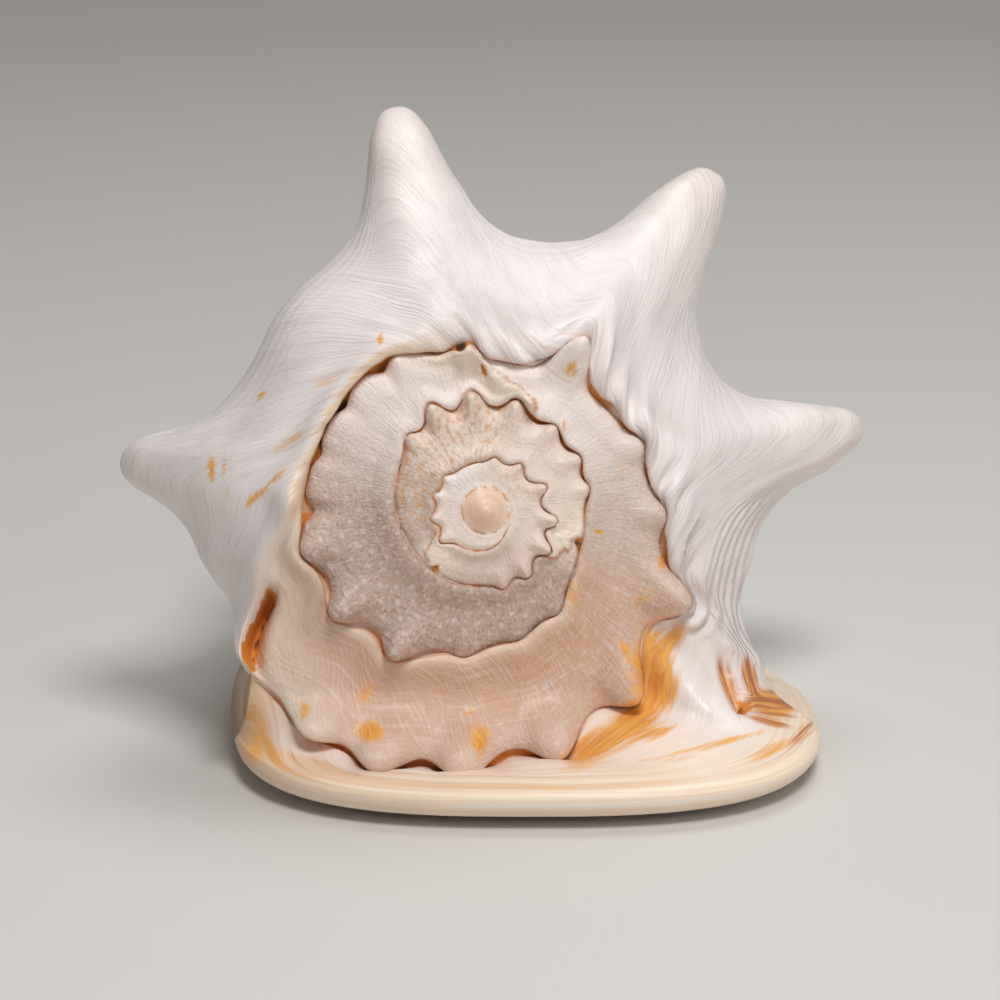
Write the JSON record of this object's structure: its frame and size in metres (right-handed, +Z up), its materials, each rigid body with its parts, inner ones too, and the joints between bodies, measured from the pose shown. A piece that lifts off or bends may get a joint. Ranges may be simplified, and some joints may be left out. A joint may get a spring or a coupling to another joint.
{
  "type": "helmet shell",
  "caption": "Horned helmet sea shell lying on its broad ventral shield, with a low stepped spire, long blunt shoulder horns and a slit aperture underneath.",
  "frame": {"origin": "bottom centre of the shell's box, on the surface that it rests on", "axes": "+Y along the shell from the apex of the spire to the siphonal canal, +Z up from the ventral shield, +X to the outer lip"},
  "size_m": [0.1828, 0.198, 0.1569],
  "materials": {
    "shell": "satin to glossy porcelain-like shell, near white with pinkish beige whorls and an orange-cream shield"
  },
  "bodies": {
    "root": {"shell": "shell"}
  },
  "joints": []
}
